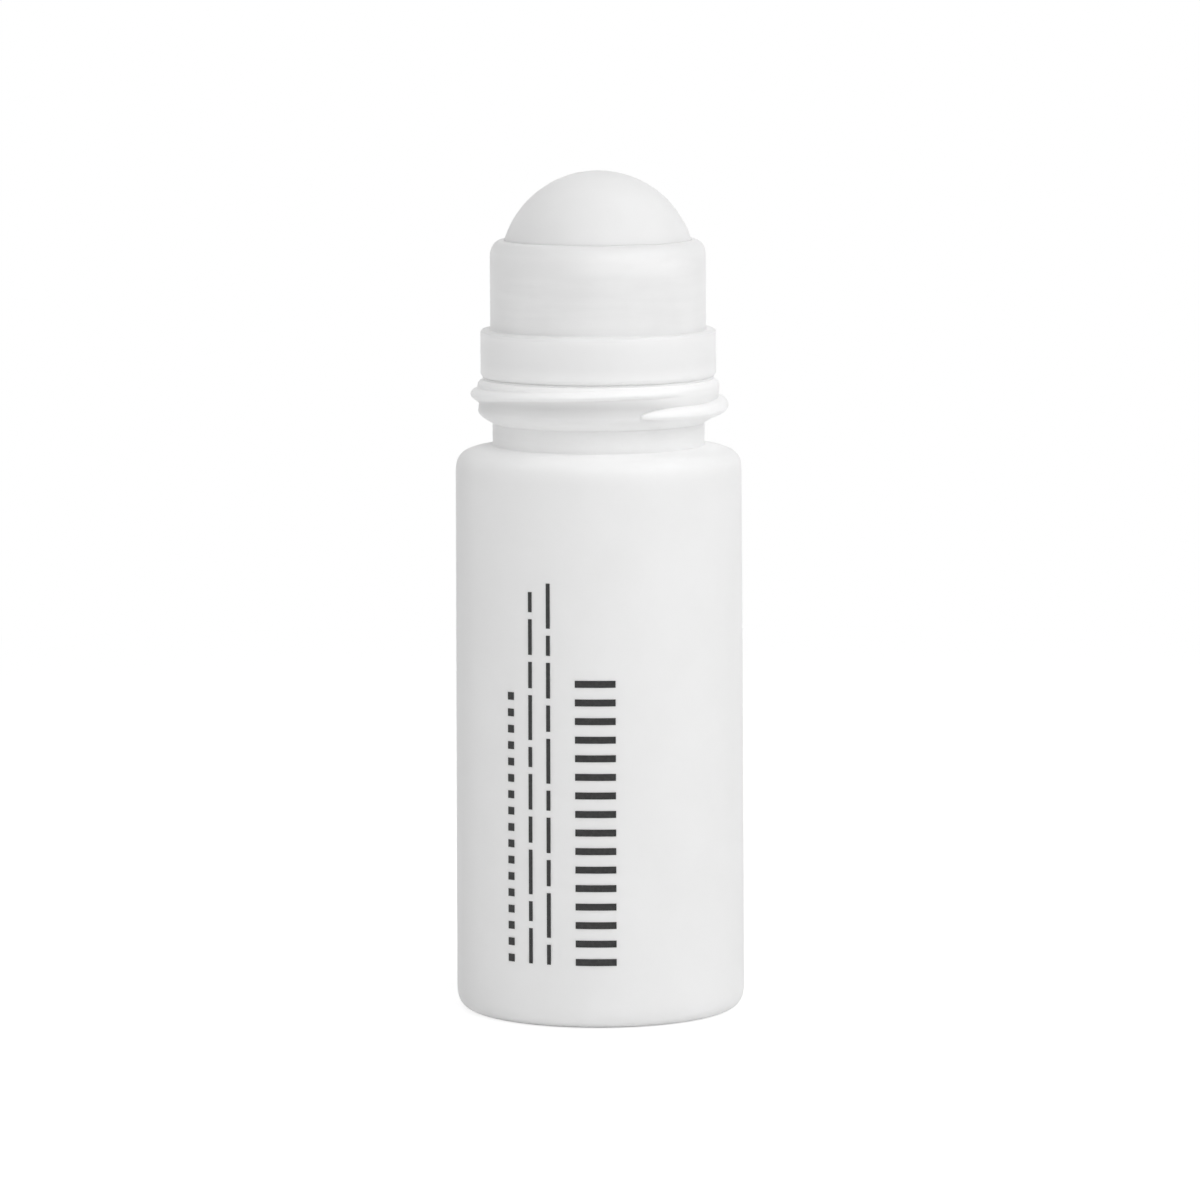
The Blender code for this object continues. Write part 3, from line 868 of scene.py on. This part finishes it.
class Surface:
    """One material, and the patterns in the object's own coordinates that its looks are mixed from."""

    def __init__(self, name):
        self.material = bpy.data.materials.new(name)
        self.material.use_nodes = True
        self.tree = self.material.node_tree
        self.shader = self.tree.nodes["Principled BSDF"]
        self.place = add(self.tree, "TexCoord", {}).outputs["Object"]
        along = add(self.tree, "SeparateXYZ", {"Vector": self.place}).outputs
        self.across, self.height = along["X"], along["Z"]

    def mapped(self, scale):
        """The place on the object, scaled along each axis."""
        inputs = {"Vector": self.place, "Scale": scale}
        return add(self.tree, "Mapping", inputs, vector_type="POINT").outputs["Vector"]

    def noise(self, size, stretch, detail):
        """Soft noise whose patches are about size across, times stretch along each axis."""
        spread = self.mapped(tuple(1 / (size * share) for share in stretch))
        return add(self.tree, "TexNoise", {"Vector": spread, "Scale": 1, "Detail": detail}).outputs["Fac"]

    def radius(self):
        """The distance from the object's axis."""
        flat = self.mapped((1, 1, 0))
        return add(self.tree, "VectorMath", {0: flat}, operation="LENGTH").outputs["Value"]

    def ranged(self, value, start, end, low=0, high=1):
        return eased(self.tree, value, start, end, low, high)

    def worked(self, operation, first, second):
        return add(self.tree, "Math", {0: first, 1: second}, operation=operation).outputs[0]

    def product(self, first, *others):
        for other in others:
            first = self.worked("MULTIPLY", first, other)
        return first

    def band(self, low, high, fade):
        """1 between two heights, and 0 beyond them by more than fade."""
        rise = self.ranged(self.height, low - fade, low)
        fall = self.ranged(self.height, high, high + fade, 1, 0)
        return self.product(rise, fall)

    def mixed(self, share, first, second):
        """The colour that lies between two by a share, which may be a pattern."""
        inputs = {0: share, 6: full_colour(first), 7: full_colour(second)}
        return add(self.tree, "Mix", inputs, data_type="RGBA").outputs[2]

    def relief(self, *patterns):
        """The normal that several patterns of relief give together, each with its depth."""
        normal = None
        for height, depth in patterns:
            inputs = {"Height": height, "Distance": depth, "Strength": 1}
            if normal:
                inputs["Normal"] = normal
            normal = add(self.tree, "Bump", inputs).outputs["Normal"]
        return normal

    def scattering(self, share, size):
        """Light that goes into the plastic and comes out again up to about size away."""
        self.shader.inputs["Subsurface Weight"].default_value = share
        self.shader.inputs["Subsurface Radius"].default_value = (1, 1, 1)
        self.shader.inputs["Subsurface Scale"].default_value = size

    def gloss(self, level):
        """How much of the light the surface mirrors: 0.5 is a plain plastic."""
        self.shader.inputs["Specular IOR Level"].default_value = level

    def bloom(self, share, roughness):
        """The soft light that a matt, milky plastic shows along its outline."""
        self.shader.inputs["Sheen Weight"].default_value = share
        self.shader.inputs["Sheen Roughness"].default_value = roughness

    def set(self, colour, roughness, relief):
        for name, value in (("Base Color", colour), ("Roughness", roughness), ("Normal", relief)):
            self.tree.links.new(value, self.shader.inputs[name])


def satin_polyethylene():
    """The blown bottle: white, satin, faintly mottled, with fine upright die lines and a soft grain."""
    looks = Surface("satin_polyethylene")
    height, across, radius = looks.height, looks.across, looks.radius()
    clouds = looks.noise(*BOTTLE_CLOUDS)
    die_lines = looks.noise(*BOTTLE_DIE_LINES)
    grain = looks.noise(*BOTTLE_GRAIN)
    unevenness = looks.noise(*BOTTLE_UNEVENNESS)
    neck = looks.band(BODY_HEIGHT, COLLAR_FOOT, NECK_LINE_HEIGHT)
    waves = looks.product(looks.noise(*NECK_WAVES), neck)

    # The thick plastic from the neck up
    fade = NECK_LINE_HEIGHT / 2
    thick = looks.ranged(height, BODY_HEIGHT - fade, BODY_HEIGHT + fade)
    colour = looks.mixed(looks.ranged(clouds, *WIDE_RANGE), BOTTLE_DARK, BOTTLE_LIGHT)
    colour = looks.mixed(thick, colour, NECK_LIGHT)

    # Painted shade on the collar's waist between the turns of the thread, and painted light in the notch
    # below the skirt
    valley_shade = looks.product(
        looks.ranged(radius, COLLAR_RADIUS, COLLAR_RADIUS + THREAD_ROOT_FILLET, 1, 0),
        looks.ranged(height, COLLAR_FOOT, COLLAR_FOOT + WAIST_RISE),
        looks.ranged(height, COLLAR_FOOT + COLLAR_FULL_RISE, COLLAR_FOOT + WAIST_TOP_RISE),
        looks.ranged(across, -NECK_SIDE, -NECK_MIDDLE, VALLEY_LEFT_SHARE, 1),
        looks.ranged(across, NECK_SIDE, NECK_MIDDLE, VALLEY_RIGHT_SHARE, 1),
    )
    colour = looks.mixed(valley_shade, colour, VALLEY_SHADE)
    # Painted light: the notch, which lies in shade under the skirt, is made lighter
    notch = looks.ranged(height, COLLAR_TOP - NOTCH_HEIGHT * 2, COLLAR_TOP - NOTCH_HEIGHT)
    colour = looks.mixed(notch, colour, NOTCH_LIGHT)

    # Painted light on the sides of the neck, and on the right also on the collar's underside
    for side, top in ((1, COLLAR_FOOT + COLLAR_BULGE_RISE), (-1, COLLAR_FOOT)):
        lit = looks.product(
            thick,
            looks.ranged(across, side * NECK_MIDDLE, side * NECK_SIDE),
            looks.ranged(height, top + WAIST_SINK * 2, top),
        )
        colour = looks.mixed(lit, colour, NECK_SIDE_LIGHT)

    # Painted shade on the left edge of the body, and the scuffed ring that it stands on
    below_neck = looks.ranged(thick, 0, 1, 1, 0)
    shaded = looks.product(looks.ranged(across, SHADED_START, SHADED_END), below_neck)
    colour = looks.mixed(shaded, colour, SHADED_GREY)
    scuffed = looks.product(
        looks.ranged(height, SCUFF_HEIGHT, SCUFF_HEIGHT + SCUFF_FADE, 1, 0),
        looks.ranged(grain, *SCUFF_RANGE),
    )
    colour = looks.mixed(scuffed, colour, SCUFFED_GREY)

    # The thread's crest is smoother, the ring under the base rougher
    polished = looks.product(
        looks.ranged(radius, POLISH_START, POLISH_FULL),
        looks.band(COLLAR_FOOT, COLLAR_TOP, POLISH_FADE),
    )
    roughness = looks.ranged(die_lines, *WIDE_RANGE, *BOTTLE_ROUGHNESS)
    roughness = looks.worked("SUBTRACT", roughness, looks.product(polished, POLISH_SMOOTHNESS))
    roughness = looks.worked("ADD", roughness, looks.product(scuffed, SCUFF_ROUGHNESS))
    relief = looks.relief(
        (unevenness, UNEVENNESS_DEPTH),
        (die_lines, DIE_LINE_DEPTH),
        (waves, WAVE_DEPTH),
        (grain, BOTTLE_GRAIN_DEPTH),
    )
    looks.set(colour, roughness, relief)
    looks.scattering(BOTTLE_SCATTER_SHARE, BOTTLE_SCATTER)
    looks.gloss(BOTTLE_GLOSS)
    return looks.material


def translucent_polypropylene():
    """The moulded housing: milky, with faint flow bands, and painted light and shade: lighter where the
    ball lies close behind.
    """
    looks = Surface("translucent_polypropylene")
    height, across, radius = looks.height, looks.across, looks.radius()
    flow = looks.noise(*HOUSING_FLOW)
    clouds = looks.noise(*HOUSING_CLOUDS)
    grain = looks.noise(*HOUSING_GRAIN)
    uneven = looks.worked("ADD", looks.product(flow, FLOW_SHARE), looks.product(clouds, 1 - FLOW_SHARE))
    deep = looks.mixed(looks.ranged(uneven, *NARROW_RANGE), HOUSING_DARK, HOUSING_LIGHT)

    # Painted light on the upper half, standing in for light that comes back from the ball, with a painted
    # highlight patch towards the right
    backed = looks.ranged(height, BALL_HEIGHT - BACKED_FADE, BALL_HEIGHT + BACKED_FADE)
    lit = looks.product(
        looks.ranged(looks.noise(*HOUSING_GLOW), *GLOW_RANGE, GLOW_LEAST_SHARE, 1),
        looks.ranged(across, GLOW_START, GLOW_FULL),
        looks.ranged(across, GLOW_WANE, GLOW_END, 1, GLOW_END_SHARE),
    )
    colour = looks.mixed(backed, deep, looks.mixed(lit, BACKED_DARK, BACKED_LIGHT))

    # Painted shade on the rim's corner, and painted light on the thin lip at the ball
    rim = looks.ranged(height, RIM_TOP - RIM_CORNER_DROP, RIM_TOP)
    colour = looks.mixed(rim, colour, RIM_SHADE)
    # Painted light on the lip, against the shade where the rim meets the ball
    lip = looks.product(looks.ranged(radius, HOUSING_RADIUS - RIM_CORNER_WIDTH, LIP_RADIUS), rim)
    colour = looks.mixed(lip, colour, LIP_LIGHT)

    # Painted shade on the step at the skirt's top and its ledge, and painted light on the skirt down to
    # its foot
    step = looks.band(SKIRT_TOP - SKIRT_TOP_ROUND / 2, SKIRT_TOP, SKIRT_TOP_ROUND / 2)
    edge = looks.ranged(radius, HOUSING_RADIUS + INNER_FILLET, SKIRT_RADIUS - SKIRT_TOP_ROUND)
    colour = looks.mixed(looks.product(step, edge), colour, STEP_SHADE)
    ledge = looks.product(step, looks.ranged(edge, 0, 1, 1, 0))
    colour = looks.mixed(ledge, colour, LEDGE_SHADE)
    # Painted light: the skirt is made lighter than the wall above it
    skirt = looks.ranged(height, SKIRT_TOP - SKIRT_TOP_ROUND, SKIRT_TOP - SKIRT_TOP_ROUND * 2)
    colour = looks.mixed(skirt, colour, SKIRT_LIGHT)
    # Painted light on the skirt's foot, over the shade of the crease below it
    foot = looks.ranged(height, COLLAR_TOP + SKIRT_FOOT_RISE * 4, COLLAR_TOP)
    colour = looks.mixed(foot, colour, SKIRT_FOOT_LIGHT)

    roughness = looks.ranged(flow, *NARROW_RANGE, *HOUSING_ROUGHNESS)
    relief = looks.relief((flow, FLOW_DEPTH), (clouds, CLOUD_DEPTH), (grain, GRAIN_DEPTH))
    looks.set(colour, roughness, relief)
    looks.scattering(1, HOUSING_SCATTER)
    looks.gloss(HOUSING_GLOSS)
    return looks.material


def milky_polypropylene():
    """The ball: milky and even, with soft clouds and a very fine tumbled finish."""
    looks = Surface("milky_polypropylene")
    clouds = looks.noise(*BALL_CLOUDS)
    colour = looks.mixed(looks.ranged(clouds, *WIDE_RANGE), BALL_DARK, BALL_LIGHT)
    roughness = looks.ranged(clouds, *WIDE_RANGE, *BALL_ROUGHNESS)
    relief = looks.relief((looks.noise(*BALL_GRAIN), GRAIN_DEPTH))
    looks.set(colour, roughness, relief)
    looks.scattering(1, BALL_SCATTER)
    looks.gloss(BALL_GLOSS)
    looks.bloom(BLOOM_SHARE, BLOOM_ROUGHNESS)
    return looks.material


def black_ink():
    """Screen-printed ink, a little uneven in its thickness."""
    looks = Surface("black_ink")
    screen = looks.noise(*INK_SCREEN)
    colour = looks.mixed(looks.ranged(looks.noise(*INK_COVER), *COVER_RANGE), INK_DARK, INK_LIGHT)
    roughness = looks.ranged(screen, *WIDE_RANGE, *INK_ROUGHNESS)
    looks.set(colour, roughness, looks.relief((screen, INK_DEPTH)))
    return looks.material


def seen_white(tree):
    """1 for rays that show the backdrop: from the camera, off gloss or through clear plastic."""
    rays = add(tree, "LightPath", {}).outputs
    clear = {0: rays["Is Glossy Ray"], 1: rays["Is Transmission Ray"]}
    every = {0: rays["Is Camera Ray"], 1: add(tree, "Math", clear, operation="MAXIMUM").outputs[0]}
    return add(tree, "Math", every, operation="MAXIMUM").outputs[0]


def shader_sum(tree, first, second):
    return add(tree, "AddShader", {0: first.outputs[0], 1: second.outputs[0]})


def shader_mix(tree, share, first, second):
    return add(tree, "MixShader", {"Fac": share, 1: first.outputs[0], 2: second.outputs[0]})


def studio_world():
    """A soft light from all round, behind which the backdrop is plain white."""
    world = bpy.data.worlds.new("studio")
    bpy.context.scene.world = world
    world.use_nodes = True
    tree = world.node_tree
    light = add(tree, "Background", {"Color": WHITE, "Strength": WORLD_LIGHT})
    backdrop = add(tree, "Background", {"Color": WHITE, "Strength": 1})
    mix = shader_mix(tree, seen_white(tree), light, backdrop)
    tree.links.new(mix.outputs[0], tree.nodes["World Output"].inputs["Surface"])


def studio_floor():
    """White paper: it takes a soft shadow near the object and runs out into plain white."""
    bpy.ops.mesh.primitive_plane_add(size=FLOOR_SIZE, location=(0, 0, 0))
    floor = bpy.context.object
    floor.name = "floor"
    looks = bpy.data.materials.new("white_paper")
    looks.use_nodes = True
    tree = looks.node_tree
    place = add(tree, "TexCoord", {}).outputs["Object"]
    away = add(tree, "VectorMath", {0: place}, operation="LENGTH").outputs["Value"]

    # What is seen: paper with a shadow on it, then plain white
    shaded = add(tree, "BsdfDiffuse", {"Color": full_colour(FLOOR_SHADED)})
    lift = add(tree, "Emission", {"Color": WHITE, "Strength": FLOOR_LIFT})
    far = add(tree, "Emission", {"Color": WHITE, "Strength": 1})
    fade = eased(tree, away, FLOOR_NEAR, FLOOR_FAR)
    paper = shader_mix(tree, fade, shader_sum(tree, shaded, lift), far)

    # What lights the object from below: paper, a little darker close to it
    bounce = add(tree, "BsdfDiffuse", {"Color": full_colour(FLOOR_BOUNCE)})
    rise = eased(tree, away, 0, GLOW_FAR, 0, FLOOR_GLOW)
    glow = add(tree, "Emission", {"Color": WHITE, "Strength": rise})
    mix = shader_mix(tree, seen_white(tree), shader_sum(tree, bounce, glow), paper)
    tree.links.new(mix.outputs[0], tree.nodes["Material Output"].inputs["Surface"])
    floor.data.materials.append(looks)


def lamp(name, azimuth, elevation, distance, size, power):
    """A square lamp aimed at the middle of the object. Azimuth is from the front towards +X."""
    middle = Vector((0, 0, (cad_box[0].z + cad_box[1].z) / 2))
    a, e = math.radians(azimuth), math.radians(elevation)
    way = Vector((math.sin(a) * math.cos(e), -math.cos(a) * math.cos(e), math.sin(e)))
    data = bpy.data.lights.new(name, "AREA")
    data.shape = "SQUARE"
    data.size = size
    data.energy = power
    made = bpy.data.objects.new(name, data)
    made.location = middle + way * distance
    made.rotation_mode = "QUATERNION"
    made.rotation_quaternion = way.to_track_quat("Z", "Y")
    bpy.context.collection.objects.link(made)


def camera():
    """The photograph's camera, in front of the object and a little above it."""
    data = bpy.data.cameras.new("camera")
    data.lens = CAMERA_LENS
    data.sensor_width = CAMERA_SENSOR
    made = bpy.data.objects.new("camera", data)
    place = Matrix.Translation((CAMERA_ASIDE, -CAMERA_DISTANCE, CAMERA_HEIGHT))
    tilt = Matrix.Rotation(math.pi / 2 - CAMERA_TILT, 4, "X")
    made.matrix_world = place @ tilt @ Matrix.Rotation(-CAMERA_ROLL, 4, "Z")
    bpy.context.collection.objects.link(made)
    bpy.context.scene.camera = made


bottle_shell().data.materials.append(satin_polyethylene())
housing_shell().data.materials.append(translucent_polypropylene())
rolling_ball().data.materials.append(milky_polypropylene())
printed_marks().data.materials.append(black_ink())
studio_world()
studio_floor()
for row in LAMPS:
    lamp(*row)
camera()
bpy.context.scene.view_settings.view_transform = "Standard"
